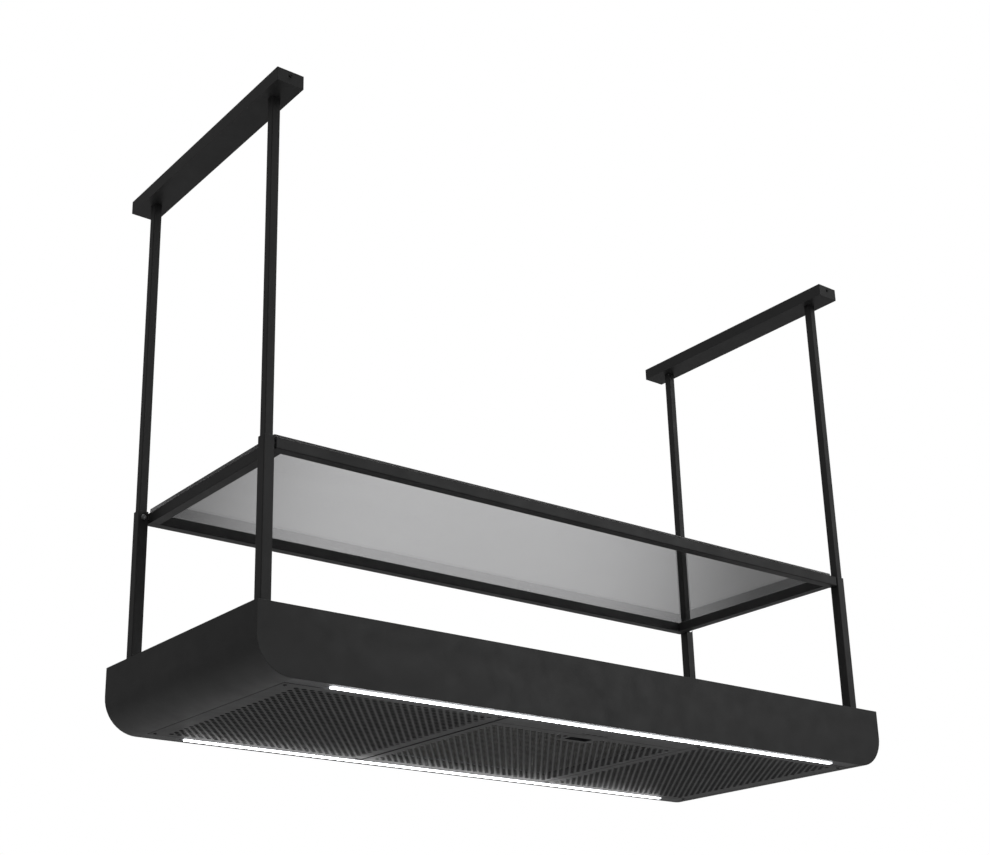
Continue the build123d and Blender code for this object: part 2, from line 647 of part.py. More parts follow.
def side_panel(side):
    """Perforated sheet held by four screws."""
    near = LEFT_SEAM[0] if side == "left" else RIGHT_SEAM[1]
    far = SIDES[side] * (SEAM_X - WRAP_GAP)
    seats = [(x, y) for x in (SIDES[side] * OUTER_SCREW_X, INNER_SCREW[side]) for y in SCREW_Y]
    with BuildPart() as panel:
        with BuildSketch(Plane.XY.offset(up(0))):
            with Locations(((near + far) / 2, 0)):
                Rectangle(abs(near - far), 2 * PANEL_HALF_Y)
            with Locations(staggered(SIDE_AREA[side], (-SIDE_AREA_Y, SIDE_AREA_Y))):
                Circle(HOLE_RADIUS, mode=Mode.SUBTRACT)
            with Locations(seats):
                Circle(PANEL_HOLE, mode=Mode.SUBTRACT)
        extrude(amount=PANEL_SHEET)
    return panel


for side in SIDES:
    save(side_panel(side), f"side_panel_{side}")

panel_seats = [((x, fy * TOP_SCREW_Y, BODY_TOP), (0, 0, 1))
               for x in TOP_SCREW_X for fy in FACES.values()]
for side, sx in SIDES.items():
    for x in (sx * OUTER_SCREW_X, INNER_SCREW[side]):
        for y in SCREW_Y:
            panel_seats.append(((x, y, up(0)), (0, 0, -1)))
save(screws(panel_seats, PANEL_SCREW, PANEL_SCREW_LENGTH), "panel_screws")

# Pleated carbon cassettes over the side panels
CARBON_LOW = 3.0
CARBON_HIGH = 33.0
CARBON_HALF_Y = 258.0
CARBON_X = {"left": (-792.0, -284.0), "right": (325.5, 792.0)}
CARBON_FRAME = 10.0
CARBON_RECESS = 4.0
with BuildPart() as carbon_filters:
    media_y = (CARBON_FRAME - CARBON_HALF_Y, CARBON_HALF_Y - CARBON_FRAME)
    for x in CARBON_X.values():
        slab(x, (-CARBON_HALF_Y, CARBON_HALF_Y), (up(CARBON_LOW), up(CARBON_HIGH)))
        media_x = (x[0] + CARBON_FRAME, x[1] - CARBON_FRAME)
        for low in (CARBON_LOW, CARBON_HIGH - CARBON_RECESS):
            slab(media_x, media_y, (up(low), up(low + CARBON_RECESS)), mode=Mode.SUBTRACT)
save(carbon_filters, "carbon_filters")

# ---------------------------------------------------------------- controls
strip_middle = (STRIP_BACK - PANEL_HALF_Y) / 2
key_starts = [KEY_X + (i - (KEY_COUNT - 1) / 2) * KEY_PITCH for i in range(KEY_COUNT)]
slot_length = (KEY_COUNT - 1) * KEY_PITCH + KEY_LENGTH + 2 * KEY_GAP
SLOT_CORNER = 1.2
STRIP_FLANGE = 12.0      # stiffening flange along the strip's front edge
KEY_RECESS = 0.8
KEY_EDGE = 0.4
KEY_FLANGE = 1.2
KEY_FLANGE_DEPTH = 10.0
KEY_FLANGE_LOW = PANEL_SHEET + 0.3

with BuildPart() as control_strip:
    with BuildSketch(Plane.XY.offset(up(0))):
        with Locations(((LEFT_SEAM[1] + RIGHT_SEAM[0]) / 2, strip_middle)):
            Rectangle(RIGHT_SEAM[0] - LEFT_SEAM[1], STRIP_BACK + PANEL_HALF_Y)
        with Locations((KEY_X, KEY_Y)):
            RectangleRounded(slot_length, KEY_DEPTH + 2 * KEY_GAP, SLOT_CORNER, mode=Mode.SUBTRACT)
    extrude(amount=PANEL_SHEET)
    strip_x = (LEFT_SEAM[1], RIGHT_SEAM[0])
    slab(strip_x, (-PANEL_HALF_Y, SHEET - PANEL_HALF_Y), (up(0), up(STRIP_FLANGE)))
save(control_strip, "control_strip")

for number, x in enumerate(key_starts, start=1):
    with BuildPart() as button:
        cap_y = (KEY_Y - KEY_DEPTH / 2, KEY_Y + KEY_DEPTH / 2)
        slab((x - KEY_LENGTH / 2, x + KEY_LENGTH / 2), cap_y, (up(KEY_RECESS), up(KEY_FLANGE_LOW)))
        fillet(button.faces().sort_by(Axis.Z)[0].edges(), KEY_EDGE)
        flange_x = (x - KEY_PITCH / 2 + 0.3, x + KEY_PITCH / 2 - 0.3)
        flange_y = (KEY_Y - KEY_FLANGE_DEPTH / 2, KEY_Y + KEY_FLANGE_DEPTH / 2)
        slab(flange_x, flange_y, (up(KEY_FLANGE_LOW), up(KEY_FLANGE_LOW + KEY_FLANGE)))
    save(button, f"button_{number}")

# Electronics case over the control strip: switches, lamp driver and supply terminals
CASE_X = (-120.0, 164.0)
CASE_Y = (-279.0, -228.0)
CASE_LOW = 5.5
CASE_HIGH = 40.0
CASE_CORNER = 4.0
GLAND_RADIUS = 5.0
GLAND_HEIGHT = 4.0
GLAND_PITCH = 60.0
with BuildPart() as control_unit:
    slab(CASE_X, CASE_Y, (up(CASE_LOW), up(CASE_HIGH)))
    fillet(control_unit.edges().filter_by(Axis.Z), CASE_CORNER)
    case_middle = ((CASE_X[0] + CASE_X[1]) / 2, (CASE_Y[0] + CASE_Y[1]) / 2)
    glands = [(case_middle[0] + (i - 1.5) * GLAND_PITCH, case_middle[1], up(CASE_HIGH))
              for i in range(4)]
    with Locations(glands):
        Cylinder(GLAND_RADIUS, GLAND_HEIGHT, align=MIN_Z)
save(control_unit, "control_unit")

# ---------------------------------------------------------------- access panel
EAR_WIDTH = 12.0
BRACKET_EAR = 4.0
EAR_GAP = 0.5
RIM_INSET = 1.5
RIM_HEIGHT = 12.0
RIM_SHEET = 1.2
RIM_BACK = 262.0
EYE_RADIUS = HINGE_HEIGHT - PANEL_SHEET     # the eye rests on the panel
door_x = (LEFT_SEAM[1] + GAP, RIGHT_SEAM[0] - GAP)
door_middle_x = (door_x[0] + door_x[1]) / 2
cup_middle = ((CUP_X[0] + CUP_X[1]) / 2, (CUP_Y[0] + CUP_Y[1]) / 2)
cup_size = (CUP_X[1] - CUP_X[0], CUP_Y[1] - CUP_Y[0])

with BuildPart() as access_panel:
    with BuildSketch(Plane.XY.offset(up(0))):
        with Locations((door_middle_x, (DOOR_FRONT + DOOR_BACK) / 2)):
            Rectangle(door_x[1] - door_x[0], DOOR_BACK - DOOR_FRONT)
        cup_zone = (CUP_X[0] - CUP_MARGIN - HOLE_RADIUS, CUP_X[1] + CUP_MARGIN + HOLE_RADIUS,
                    DOOR_FRONT, CUP_Y[1] + CUP_MARGIN + HOLE_RADIUS)
        with Locations(staggered(DOOR_AREA_X, DOOR_AREA_Y, cup_zone)):
            Circle(HOLE_RADIUS, mode=Mode.SUBTRACT)
        with Locations(cup_middle):
            RectangleRounded(cup_size[0], cup_size[1], CUP_CORNER, mode=Mode.SUBTRACT)
    extrude(amount=PANEL_SHEET)
save(access_panel, "access_panel")

# Welded rim that stiffens the panel and carries its hinge eyes
with BuildPart() as access_rim:
    rim_x = (door_x[0] + RIM_INSET, door_x[1] - RIM_INSET)
    rim_y = (DOOR_FRONT + RIM_INSET, RIM_BACK)
    walls = (up(PANEL_SHEET), up(PANEL_SHEET + RIM_HEIGHT))
    slab(rim_x, rim_y, walls)
    slab((rim_x[0] + RIM_SHEET, rim_x[1] - RIM_SHEET), (rim_y[0] + RIM_SHEET, rim_y[1] - RIM_SHEET),
         walls, mode=Mode.SUBTRACT)
    for x in HINGE_X:
        eye = (x, HINGE_Y, up(HINGE_HEIGHT))
        with Locations(Plane(eye, z_dir=(1, 0, 0))):
            Cylinder(EYE_RADIUS, EAR_WIDTH)
        strap = (x - EAR_WIDTH / 2, x + EAR_WIDTH / 2)
        slab(strap, (RIM_BACK - RIM_SHEET, HINGE_Y), (up(PANEL_SHEET), up(HINGE_HEIGHT)))
        with Locations(Plane(eye, z_dir=(1, 0, 0))):
            Cylinder(HINGE_PIN_RADIUS + HINGE_CLEARANCE, 2 * EAR_WIDTH, mode=Mode.SUBTRACT)
save(access_rim, "access_rim")

# Finger pull: a shallow tray behind the opening in the panel
with BuildPart() as finger_cup:
    with BuildSketch(Plane.XY.offset(up(PANEL_SHEET))):
        with Locations(cup_middle):
            grow = 4 * CUP_FLANGE
            RectangleRounded(cup_size[0] + grow, cup_size[1] + grow, CUP_CORNER + CUP_WALL)
    extrude(amount=CUP_DEPTH)
    with BuildSketch(Plane.XY.offset(up(PANEL_SHEET))):
        with Locations(cup_middle):
            grow = 2 * CUP_FLANGE
            RectangleRounded(cup_size[0] + grow, cup_size[1] + grow, CUP_CORNER)
    extrude(amount=CUP_DEPTH - CUP_WALL, mode=Mode.SUBTRACT)
save(finger_cup, "finger_cup")

# ---------------------------------------------------------------- intake and fan
LEDGE = 10.0
FILTER_LOW = 22.0
intake_x = (bulkhead_x["left"] + SHEET, bulkhead_x["right"])
BACK_WALL_Y = 266.0
HINGE_BAR_Y = (274.0, 279.0)
INLET_RADIUS = 100.0
KNUCKLE_RADIUS = 3.4
PRESS_FIT = 0.02         # pins in their brackets, wheel on its shaft

with BuildPart() as intake_plate:
    plate = (up(INTAKE_HEIGHT), up(INTAKE_HEIGHT + SHEET))
    slab(intake_x, (STRIP_BACK, PANEL_HALF_Y), plate)
    below = (up(FILTER_LOW - SHEET), up(INTAKE_HEIGHT))
    slab(intake_x, (STRIP_BACK, STRIP_BACK + SHEET), (up(PANEL_SHEET), up(INTAKE_HEIGHT)))
    slab(intake_x, (STRIP_BACK, STRIP_BACK + LEDGE), (up(FILTER_LOW - SHEET), up(FILTER_LOW)))
    slab(intake_x, (BACK_WALL_Y, BACK_WALL_Y + SHEET), below)
    slab(intake_x, (BACK_WALL_Y - LEDGE, BACK_WALL_Y), (up(FILTER_LOW - SHEET), up(FILTER_LOW)))
    with Locations((FAN_X, FAN_Y, up(INTAKE_HEIGHT))):
        Cylinder(INLET_RADIUS, 6 * SHEET, mode=Mode.SUBTRACT)
    for x in HINGE_X:
        for edge in (-1, 1):
            start = x + edge * (EAR_WIDTH / 2 + EAR_GAP)
            ear = sorted((start, start + edge * BRACKET_EAR))
            slab(ear, HINGE_BAR_Y, (up(HINGE_HEIGHT), up(INTAKE_HEIGHT)))
            knuckle = ((ear[0] + ear[1]) / 2, HINGE_Y, up(HINGE_HEIGHT))
            with Locations(Plane(knuckle, z_dir=(1, 0, 0))):
                Cylinder(KNUCKLE_RADIUS, BRACKET_EAR)
                Cylinder(HINGE_PIN_RADIUS + PRESS_FIT, 2 * BRACKET_EAR, mode=Mode.SUBTRACT)
save(intake_plate, "intake_plate")

with BuildPart() as hinge_pins:
    for x in HINGE_X:
        with Locations(Plane((x, HINGE_Y, up(HINGE_HEIGHT)), z_dir=(1, 0, 0))):
            Cylinder(HINGE_PIN_RADIUS, EAR_WIDTH + 2 * (EAR_GAP + BRACKET_EAR))
save(hinge_pins, "hinge_pins")

# Magnets that hold the panel shut, fixed under the front ledge
MAGNET_X = (-180.0, 228.0)
MAGNET_HALF_LENGTH = 12.0
MAGNET_LOW = PANEL_SHEET + RIM_HEIGHT + 0.4     # just clear of the closed panel's rim
with BuildPart() as catch_magnets:
    magnet_y = (STRIP_BACK + SHEET, STRIP_BACK + LEDGE)
    for x in MAGNET_X:
        magnet_x = (x - MAGNET_HALF_LENGTH, x + MAGNET_HALF_LENGTH)
        slab(magnet_x, magnet_y, (up(MAGNET_LOW), up(FILTER_LOW - SHEET)))
save(catch_magnets, "catch_magnets")

# Aluminium grease cassettes, resting on the two ledges
CASSETTE_GAP = 3.0       # each cassette to the middle of the pair
CASSETTE_PLAY = 2.0      # each cassette to the bulkhead beside it
CASSETTE_FRAME = 8.0
CASSETTE_RECESS = 3.0
with BuildPart() as grease_filters:
    middle_x = (intake_x[0] + intake_x[1]) / 2
    cassette_y = (STRIP_BACK + 2 * SHEET, BACK_WALL_Y - SHEET)
    mesh_y = (cassette_y[0] + CASSETTE_FRAME, cassette_y[1] - CASSETTE_FRAME)
    left_x = (intake_x[0] + CASSETTE_PLAY, middle_x - CASSETTE_GAP)
    right_x = (middle_x + CASSETTE_GAP, intake_x[1] - CASSETTE_PLAY)
    for low, high in (left_x, right_x):
        slab((low, high), cassette_y, (up(FILTER_LOW), up(INTAKE_HEIGHT)))
        mesh_x = (low + CASSETTE_FRAME, high - CASSETTE_FRAME)
        for height in (FILTER_LOW, INTAKE_HEIGHT - CASSETTE_RECESS):
            depth = (up(height), up(height + CASSETTE_RECESS))
            slab(mesh_x, mesh_y, depth, mode=Mode.SUBTRACT)
save(grease_filters, "grease_filters")

# Drum with an air duct to each bulkhead window, open underneath on to the intake plate
with BuildPart() as fan_housing:
    floor = up(INTAKE_HEIGHT + SHEET)
    with BuildSketch(Plane.XY.offset(floor)):
        with Locations((FAN_X, FAN_Y)):
            Circle(FAN_RADIUS)
        with Locations((middle_x, FAN_Y)):
            Rectangle(intake_x[1] - intake_x[0], 2 * WINDOW_HALF_Y + 2 * SHEET)
    extrude(amount=FAN_TOP - INTAKE_HEIGHT - SHEET)
    with BuildSketch(Plane.XY.offset(floor)):
        with Locations((FAN_X, FAN_Y)):
            Circle(FAN_RADIUS - SHEET)
        with Locations((middle_x, FAN_Y)):
            Rectangle(intake_x[1] - intake_x[0], 2 * WINDOW_HALF_Y)
    extrude(amount=FAN_TOP - INTAKE_HEIGHT - 2 * SHEET, mode=Mode.SUBTRACT)
save(fan_housing, "fan_housing")

MOTOR_RADIUS = 55.0
MOTOR_LOW = 99.0
MOTOR_CORNER = 5.0
MOTOR_FLANGE = 14.0
MOTOR_FLANGE_PLATE = 3.0
SHAFT_LOW = 56.0
SHAFT_BORE_DEPTH = 20.0
SHAFT_CLEARANCE = 0.05
motor_top = FAN_TOP - SHEET
with BuildPart() as fan_motor:
    with Locations((FAN_X, FAN_Y, up(MOTOR_LOW))):
        Cylinder(MOTOR_RADIUS, motor_top - MOTOR_LOW, align=MIN_Z)
    fillet(fan_motor.faces().sort_by(Axis.Z)[0].edges(), MOTOR_CORNER)
    with BuildSketch(Plane.XY.offset(up(motor_top - MOTOR_FLANGE_PLATE))):
        with Locations((FAN_X, FAN_Y)):
            Circle(MOTOR_RADIUS + MOTOR_FLANGE)
    extrude(amount=MOTOR_FLANGE_PLATE)
    with Locations((FAN_X, FAN_Y, up(MOTOR_LOW))):
        bore = SHAFT_RADIUS + SHAFT_CLEARANCE
        Cylinder(bore, SHAFT_BORE_DEPTH, align=MIN_Z, mode=Mode.SUBTRACT)
save(fan_motor, "fan_motor")

with BuildPart() as motor_shaft:
    shaft_top = MOTOR_LOW + SHAFT_BORE_DEPTH - 1.0
    with Locations((FAN_X, FAN_Y, up(SHAFT_LOW))):
        Cylinder(SHAFT_RADIUS, shaft_top - SHAFT_LOW, align=MIN_Z)
save(motor_shaft, "motor_shaft")

# Radial fan wheel: back plate, hub, blades and front ring
BLADE_COUNT = 28
BLADE_LENGTH = 26.0
BLADE_SHEET = 1.5
BLADE_ANGLE = 35.0
WHEEL_PLATE = 2.0
WHEEL_LOW = 42.0
WHEEL_HIGH = 96.0
HUB_RADIUS = 16.0
HUB_LOW = 60.0
with BuildPart() as impeller:
    with BuildSketch(Plane.XY.offset(up(WHEEL_HIGH - WHEEL_PLATE))):
        with Locations((FAN_X, FAN_Y)):
            Circle(WHEEL_RADIUS)
            Circle(SHAFT_RADIUS + PRESS_FIT, mode=Mode.SUBTRACT)
    extrude(amount=WHEEL_PLATE)
    with BuildSketch(Plane.XY.offset(up(HUB_LOW))):
        with Locations((FAN_X, FAN_Y)):
            Circle(HUB_RADIUS)
            Circle(SHAFT_RADIUS + PRESS_FIT, mode=Mode.SUBTRACT)
    extrude(amount=WHEEL_HIGH - WHEEL_PLATE / 2 - HUB_LOW)
    with BuildSketch(Plane.XY.offset(up(WHEEL_LOW))):
        with Locations((FAN_X, FAN_Y)):
            Circle(WHEEL_RADIUS)
            Circle(WHEEL_RADIUS - BLADE_LENGTH, mode=Mode.SUBTRACT)
    extrude(amount=WHEEL_PLATE)
    with BuildSketch(Plane.XY.offset(up(WHEEL_LOW + WHEEL_PLATE / 2))):
        with Locations((FAN_X, FAN_Y)):
            with PolarLocations(WHEEL_RADIUS - BLADE_LENGTH / 2, BLADE_COUNT):
                Rectangle(BLADE_LENGTH - 2 * WHEEL_PLATE, BLADE_SHEET, rotation=BLADE_ANGLE)
    extrude(amount=WHEEL_HIGH - WHEEL_LOW - WHEEL_PLATE)
save(impeller, "impeller")
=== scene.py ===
"""Looks of a ceiling-hung range hood with a glass shelf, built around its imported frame.

Metres. +X runs along the hood, -Y is its front and +Z is up, as in the frame.
"""

import json
import math

import bmesh
import bpy
from mathutils import Euler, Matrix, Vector


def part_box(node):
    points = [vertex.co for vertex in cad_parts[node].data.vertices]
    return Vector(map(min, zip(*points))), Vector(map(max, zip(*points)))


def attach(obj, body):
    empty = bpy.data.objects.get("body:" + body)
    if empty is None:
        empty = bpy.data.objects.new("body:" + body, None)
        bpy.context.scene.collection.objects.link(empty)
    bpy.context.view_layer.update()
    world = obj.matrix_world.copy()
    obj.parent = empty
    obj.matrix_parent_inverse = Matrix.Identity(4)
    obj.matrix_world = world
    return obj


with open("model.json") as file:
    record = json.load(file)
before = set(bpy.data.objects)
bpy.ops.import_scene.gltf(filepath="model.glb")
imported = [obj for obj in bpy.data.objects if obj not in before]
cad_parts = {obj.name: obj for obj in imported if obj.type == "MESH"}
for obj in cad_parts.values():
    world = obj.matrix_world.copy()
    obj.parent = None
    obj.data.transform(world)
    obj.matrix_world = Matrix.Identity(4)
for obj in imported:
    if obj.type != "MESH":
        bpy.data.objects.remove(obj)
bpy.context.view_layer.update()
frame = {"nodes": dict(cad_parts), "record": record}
MM = 0.001

# ---------------------------------------------------------------- where things are
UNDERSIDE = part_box("access_panel")[0].z
FLOOR_DROP = 1650 * MM            # underside of the hood above the floor
FLOOR_Z = UNDERSIDE - FLOOR_DROP
BODY = {node: body for body, nodes in frame["record"]["behaviour"]["bodies"].items()
        for node in nodes}


# ---------------------------------------------------------------- node helpers
class Shader:
    """A new node material with its Principled shader, and short ways to add nodes to it."""

    def __init__(self, name, colour, roughness, metallic=0.0, specular=0.5):
        self.material = bpy.data.materials.new(name)
        self.material.use_nodes = True
        self.tree = self.material.node_tree
        self.surface = self.tree.nodes["Principled BSDF"]
        self.surface.inputs["Base Color"].default_value = (*colour, 1.0)
        self.surface.inputs["Roughness"].default_value = roughness
        self.surface.inputs["Metallic"].default_value = metallic
        self.surface.inputs["Specular IOR Level"].default_value = specular
        self.place = self.node("ShaderNodeTexCoord").outputs["Object"]

    def node(self, kind, **settings):
        made = self.tree.nodes.new(kind)
        for key, value in settings.items():
            setattr(made, key, value)
        return made

    def join(self, output, socket):
        self.tree.links.new(output, socket)

    def noise(self, scale, detail=3.0, roughness=0.55, stretch=None):
        """Noise with features of about 1 / scale metres, stretched along X, Y and Z."""
        texture = self.node("ShaderNodeTexNoise")
        texture.inputs["Scale"].default_value = scale
        texture.inputs["Detail"].default_value = detail
        texture.inputs["Roughness"].default_value = roughness
        place = self.place
        if stretch:
            mapping = self.node("ShaderNodeMapping")
            mapping.inputs["Scale"].default_value = stretch
            self.join(place, mapping.inputs["Vector"])
            place = mapping.outputs["Vector"]
        self.join(place, texture.inputs["Vector"])
        return texture.outputs["Fac"]

    def spread(self, value, low, high, start=0.3, end=0.7):
        """Maps a value from start..end to low..high."""
        mapped = self.node("ShaderNodeMapRange")
        for name, number in (("From Min", start), ("From Max", end), ("To Min", low), ("To Max", high)):
            mapped.inputs[name].default_value = number
        self.join(value, mapped.inputs["Value"])
        return mapped.outputs["Result"]

    def maths(self, operation, a, b):
        made = self.node("ShaderNodeMath", operation=operation)
        for socket, value in zip(made.inputs, (a, b)):
            if isinstance(value, (int, float)):
                socket.default_value = value
            else:
                self.join(value, socket)
        return made.outputs["Value"]

    def blend(self, share, first, second):
        """A colour between two colours, or between a colour and an output."""
        mix = self.node("ShaderNodeMix", data_type="RGBA")
        self.join(share, mix.inputs["Factor"])
        for socket, value in ((mix.inputs[6], first), (mix.inputs[7], second)):
            if isinstance(value, tuple):
                socket.default_value = (*value, 1.0)
            else:
                self.join(value, socket)
        return mix.outputs[2]

    def edges(self, radius):
        """Rounded-edge normal, and a mask that is 1 along the edges."""
        bevel = self.node("ShaderNodeBevel", samples=4)
        bevel.inputs["Radius"].default_value = radius
        geometry = self.node("ShaderNodeNewGeometry")
        dot = self.node("ShaderNodeVectorMath", operation="DOT_PRODUCT")
        self.join(bevel.outputs["Normal"], dot.inputs[0])
        self.join(geometry.outputs["Normal"], dot.inputs[1])
        mask = self.spread(dot.outputs["Value"], 1.0, 0.0, 0.86, 0.99)
        return bevel.outputs["Normal"], mask

    def bump(self, height, depth, normal=None):
        made = self.node("ShaderNodeBump")
        made.inputs["Distance"].default_value = depth
        made.inputs["Strength"].default_value = 1.0
        self.join(height, made.inputs["Height"])
        if normal:
            self.join(normal, made.inputs["Normal"])
        return made.outputs["Normal"]

    def finish_with(self, colour=None, roughness=None, normal=None):
        for name, output in (("Base Color", colour), ("Roughness", roughness), ("Normal", normal)):
            if output:
                self.join(output, self.surface.inputs[name])
        return self.material


def scaled(colour, factor):
    return tuple(min(1.0, channel * factor) for channel in colour)


# ---------------------------------------------------------------- materials
def powder_coat(name, colour, roughness, grain=1500.0, edge=1.0 * MM, wear=3.4):
    """Matt powder coat: fine grain, slight orange peel, faint cloudiness and lighter edges."""
    shader = Shader(name, colour, roughness, specular=0.3)
    rounded, edge_mask = shader.edges(edge)
    cloud = shader.noise(5.0, detail=4.0)
    body = shader.blend(shader.spread(cloud, 0.0, 1.0), scaled(colour, 0.86), scaled(colour, 1.16))
    rubbed = shader.maths("MULTIPLY", edge_mask, shader.spread(shader.noise(60.0), 0.25, 0.9))
    tone = shader.blend(rubbed, body, scaled(colour, wear))
    gloss = shader.spread(shader.noise(22.0, detail=5.0), roughness - 0.035, roughness + 0.045)
    peel = shader.bump(shader.noise(260.0, detail=2.0), 0.05 * MM, rounded)
    grained = shader.bump(shader.noise(grain, detail=2.0), 0.012 * MM, peel)
    return shader.finish_with(tone, gloss, grained)


def anodised(name, colour, roughness):
    """Extruded aluminium with fine draw lines along X."""
    shader = Shader(name, colour, roughness, metallic=0.85)
    rounded, edge_mask = shader.edges(0.3 * MM)
    lines = shader.noise(900.0, detail=2.0, stretch=(0.01, 1.0, 1.0))
    tone = shader.blend(shader.spread(lines, 0.0, 1.0), scaled(colour, 0.8), scaled(colour, 1.2))
    worn = shader.blend(shader.maths("MULTIPLY", edge_mask, 0.5), tone, scaled(colour, 3.0))
    gloss = shader.spread(lines, roughness - 0.06, roughness + 0.08)
    return shader.finish_with(worn, gloss, shader.bump(lines, 0.01 * MM, rounded))


def galvanised(name, colour):
    """Zinc-coated sheet with its crystal spangle, faint stains and a fine bump."""
    shader = Shader(name, colour, 0.42, metallic=0.9)
    cells = shader.node("ShaderNodeTexVoronoi")
    cells.inputs["Scale"].default_value = 130.0
    shader.join(shader.place, cells.inputs["Vector"])
    split = shader.node("ShaderNodeSeparateColor")
    shader.join(cells.outputs["Color"], split.inputs["Color"])
    spangle = split.outputs[0]
    tone = shader.blend(shader.spread(spangle, 0.0, 1.0, 0.0, 1.0), scaled(colour, 0.7), scaled(colour, 1.15))
    stain = shader.spread(shader.noise(9.0, detail=5.0), 0.0, 0.35)
    tone = shader.blend(stain, tone, scaled(colour, 0.55))
    gloss = shader.spread(spangle, 0.3, 0.55, 0.0, 1.0)
    rounded, _ = shader.edges(0.4 * MM)
    return shader.finish_with(tone, gloss, shader.bump(shader.noise(400.0), 0.015 * MM, rounded))


def plated(name, colour, roughness):
    """Turned or pressed metal part with a bright or blackened plating."""
    shader = Shader(name, colour, roughness, metallic=1.0)
    rounded, edge_mask = shader.edges(0.25 * MM)
    turned = shader.noise(1400.0, detail=2.0, stretch=(1.0, 1.0, 6.0))
    tone = shader.blend(shader.spread(turned, 0.0, 1.0), scaled(colour, 0.82), scaled(colour, 1.1))
    tone = shader.blend(shader.maths("MULTIPLY", edge_mask, 0.4), tone, scaled(colour, 1.6))
    gloss = shader.spread(shader.noise(300.0), roughness - 0.07, roughness + 0.1)
    return shader.finish_with(tone, gloss, shader.bump(turned, 0.008 * MM, rounded))


def moulded(name, colour, roughness, grain=900.0, depth=0.02 * MM, specular=0.45):
    """Moulded plastic or rubber with a fine spark-eroded grain."""
    shader = Shader(name, colour, roughness, specular=specular)
    rounded, edge_mask = shader.edges(0.35 * MM)
    cloud = shader.spread(shader.noise(12.0), 0.0, 1.0)
    body = shader.blend(cloud, scaled(colour, 0.85), scaled(colour, 1.15))
    tone = shader.blend(shader.maths("MULTIPLY", edge_mask, 0.35), body, scaled(colour, 2.0))
    gloss = shader.spread(shader.noise(80.0), roughness - 0.05, roughness + 0.06)
    return shader.finish_with(tone, gloss, shader.bump(shader.noise(grain), depth, rounded))


def carbon(name):
    """Granular activated carbon held in a black fleece."""
    shader = Shader(name, (0.012, 0.012, 0.013), 0.8, specular=0.3)
    grains = shader.node("ShaderNodeTexVoronoi")
    grains.inputs["Scale"].default_value = 420.0
    shader.join(shader.place, grains.inputs["Vector"])
    height = grains.outputs["Distance"]
    tone = shader.blend(shader.spread(height, 0.0, 1.0, 0.0, 0.6), (0.03, 0.03, 0.032), (0.006, 0.006, 0.006))
    gloss = shader.spread(shader.noise(500.0), 0.55, 0.9)
    return shader.finish_with(tone, gloss, shader.bump(height, 0.4 * MM))


def mesh_metal(name):
    """Rolled aluminium mesh, a little dulled by grease, and kept dark as painted shade for the mesh seen
    through the perforations.
    """
    shader = Shader(name, (0.62, 0.62, 0.61), 0.34, metallic=1.0)
    # The dark brownish patches are partly real grease stain and partly painted shade of the mesh behind the
    # perforated panel.
    grease_and_shade = shader.spread(shader.noise(16.0, detail=5.0), 0.0, 0.45)
    tone = shader.blend(grease_and_shade, (0.66, 0.66, 0.65), (0.42, 0.39, 0.33))
    gloss = shader.spread(shader.noise(700.0), 0.25, 0.48)
    return shader.finish_with(tone, gloss, shader.bump(shader.noise(1200.0), 0.02 * MM))


def smoked_glass(name, colour):
    """Grey glass with the faintest smears and pale ground edges. Lamps shine through it, dimmed."""
    shader = Shader(name, colour, 0.02)
    shader.surface.inputs["Transmission Weight"].default_value = 1.0
    shader.surface.inputs["IOR"].default_value = 1.5
    smear = shader.noise(6.0, detail=6.0, stretch=(1.0, 3.0, 1.0))
    parts = shader.node("ShaderNodeSeparateXYZ")
    shader.join(shader.node("ShaderNodeNewGeometry").outputs["Normal"], parts.inputs["Vector"])
    ground = shader.spread(shader.maths("ABSOLUTE", parts.outputs["Z"], 0.0), 1.0, 0.0, 0.3, 0.9)
    polish = shader.spread(smear, 0.0, 0.05, 0.45, 0.8)
    gloss = shader.maths("MAXIMUM", polish, shader.maths("MULTIPLY", ground, 0.45))
    shader.join(gloss, shader.surface.inputs["Roughness"])
    face = shader.blend(shader.spread(smear, 0.0, 1.0), scaled(colour, 0.985), scaled(colour, 1.015))
    shader.join(shader.blend(ground, face, (0.82, 0.83, 0.83)), shader.surface.inputs["Base Color"])
    clear = shader.node("ShaderNodeBsdfTransparent")
    clear.inputs["Color"].default_value = (*colour, 1.0)
    path = shader.node("ShaderNodeLightPath")
    either = shader.node("ShaderNodeMixShader")
    shader.join(path.outputs["Is Shadow Ray"], either.inputs["Fac"])
    shader.join(shader.surface.outputs["BSDF"], either.inputs[1])
    shader.join(clear.outputs["BSDF"], either.inputs[2])
    shader.join(either.outputs["Shader"], shader.tree.nodes["Material Output"].inputs["Surface"])
    return shader.material


def silicone(name):
    """Translucent silicone pad."""
    shader = Shader(name, (0.62, 0.63, 0.63), 0.32)
    shader.surface.inputs["Transmission Weight"].default_value = 0.55
    gloss = shader.spread(shader.noise(220.0), 0.25, 0.42)
    return shader.finish_with(None, gloss, shader.bump(shader.noise(500.0), 0.02 * MM))


def lit_lens(name, strength):
    """Opal diffuser, evenly lit from behind, with a matt moulded face."""
    colour = (0.94, 0.97, 1.0)
    shader = Shader(name, (0.85, 0.86, 0.87), 0.45)
    shader.surface.inputs["Emission Strength"].default_value = strength
    glow = shader.blend(shader.spread(shader.noise(4.0), 0.0, 1.0), scaled(colour, 0.97), colour)
    shader.join(glow, shader.surface.inputs["Emission Color"])
    return shader.finish_with(None, None, shader.bump(shader.noise(1500.0), 0.01 * MM))


